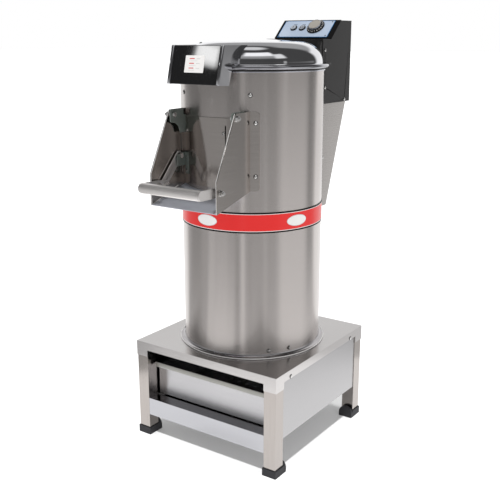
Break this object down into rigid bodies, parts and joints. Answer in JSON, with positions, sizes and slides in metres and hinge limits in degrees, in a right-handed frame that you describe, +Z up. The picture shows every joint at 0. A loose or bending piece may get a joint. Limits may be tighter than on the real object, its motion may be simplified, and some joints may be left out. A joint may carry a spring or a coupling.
{
  "type": "electric potato peeler",
  "caption": "Floor-standing electric vegetable peeler: stainless drum on a square stand, hinged domed lid, discharge chute with a linked door and lifting handle, timer box, peel drawer.",
  "frame": {"origin": "on the floor, under the middle of the machine's overall box", "axes": "+Z up; -Y is the front, where the discharge chute and the drawer face; +X is to the right of someone who faces the front, seen from the front looking towards +Y"},
  "size_m": [0.496, 0.7696, 1.2121],
  "materials": {
    "brushed": "vertical brushed grain",
    "polished": "polished stainless",
    "fasteners": "bright screws and bolts",
    "hardware": "dull dark sheet",
    "powder": "black powder coat",
    "band": "gloss red",
    "trim": "gloss black line",
    "black_gloss": "gloss black",
    "panel": "satin printed panel with a gloss black frame",
    "rubber": "black rubber",
    "knob": "black skirt with a metal cap",
    "button": "grey cap",
    "abrasive": "bonded abrasive grit",
    "cast": "cast",
    "iron": "machined grey iron",
    "paint": "motor enamel",
    "brass": "turned",
    "plastic": "moulded switch body"
  },
  "bodies": {
    "frame": {"table_top": "brushed", "legs": "brushed", "feet": "rubber", "front_rail": "brushed", "side_panels": "brushed", "rear_panel": "brushed", "drawer_runners": "brushed", "waste_basin": "brushed", "drain_outlet": "brushed", "drum_shell": "brushed", "base_ring": "polished", "colour_band": "band", "band_trims": "trim", "drum_rim": "polished", "chamber_floor": "brushed", "abrasive_liner": "abrasive", "peel_pipe": "brushed", "bearing_housing": "cast", "shaft_bearings": "fasteners", "shaft_seal": "rubber", "drive_belt": "rubber", "motor": "paint", "motor_plate": "brushed", "chute_sides": "brushed", "chute_floor": "brushed", "chute_bolts": "fasteners", "case_screws": "fasteners", "hinge_brackets": "powder", "water_inlet": "brass", "control_box": "powder", "box_cover": "powder", "rear_duct": "brushed", "cable_gland": "rubber", "fascia": "panel", "switch_bodies": "plastic"},
    "lid": {"lid_shell": "polished", "lid_gasket": "rubber", "lid_handle": "polished", "lid_plate": "black_gloss", "lid_hinge_ears": "polished"},
    "bail": {"lifting_handle": "polished", "handle_bar": "polished", "handle_bolts": "fasteners"},
    "door": {"discharge_door": "brushed", "door_hinge_plates": "hardware", "door_lugs": "hardware", "door_bolts": "fasteners"},
    "straps": {"door_straps": "polished"},
    "drawer": {"drawer": "brushed", "drawer_strainer": "polished"},
    "timer": {"timer_knob": "knob"},
    "start": {"start_button": "button"},
    "stop": {"stop_button": "button"},
    "disc": {"abrasive_disc": "abrasive", "peel_wipers": "brushed", "drive_shaft": "fasteners", "disc_nut": "fasteners", "large_pulley": "iron"},
    "rotor": {"motor_pulley": "iron", "motor_shaft": "fasteners"}
  },
  "joints": [
    {"name": "lid_hinge", "type": "hinge", "parent": "frame", "child": "lid", "pos_m": [0, 0.20025, 1.112], "axis": [-1, 0, 0], "range_deg": [0, 65]},
    {"name": "handle_hinge", "type": "hinge", "parent": "frame", "child": "bail", "pos_m": [0, -0.30875, 0.7824], "axis": [-1, 0, 0], "range_deg": [0, 48]},
    {"name": "door_hinge", "type": "hinge", "parent": "frame", "child": "door", "pos_m": [0, -0.23975, 0.962], "axis": [-1, 0, 0], "range_deg": [0, 18]},
    {"name": "strap_hinge", "type": "hinge", "parent": "bail", "child": "straps", "pos_m": [0, -0.27795, 0.7808], "axis": [1, 0, 0], "range_deg": [0, 67.2]},
    {"name": "drawer_slide", "type": "slide", "parent": "frame", "child": "drawer", "axis": [0, -1, 0], "range_m": [0, 0.33]},
    {"name": "timer_turn", "type": "hinge", "parent": "frame", "child": "timer", "pos_m": [0.026, 0.29381, 1.18774], "axis": [0, -0.6717, 0.7408], "range_deg": [0, 300]},
    {"name": "start_push", "type": "slide", "parent": "frame", "child": "start", "axis": [0, 0.6717, -0.7408], "range_m": [0, 0.003], "stiffness_N_per_m": 400},
    {"name": "stop_push", "type": "slide", "parent": "frame", "child": "stop", "axis": [0, 0.6717, -0.7408], "range_m": [0, 0.003], "stiffness_N_per_m": 400},
    {"name": "disc_spin", "type": "hinge", "parent": "frame", "child": "disc", "pos_m": [0, -0.00975, 0.745], "axis": [0, 0, 1], "continuous": true},
    {"name": "motor_spin", "type": "hinge", "parent": "frame", "child": "rotor", "pos_m": [0, -0.13775, 0.5], "axis": [0, 0, 1], "continuous": true}
  ],
  "couplings": [
    {"joint": "door_hinge", "follows": "handle_hinge", "ratio": 0.375},
    {"joint": "strap_hinge", "follows": "handle_hinge", "ratio": 1.4},
    {"joint": "motor_spin", "follows": "disc_spin", "ratio": 3.3077}
  ]
}
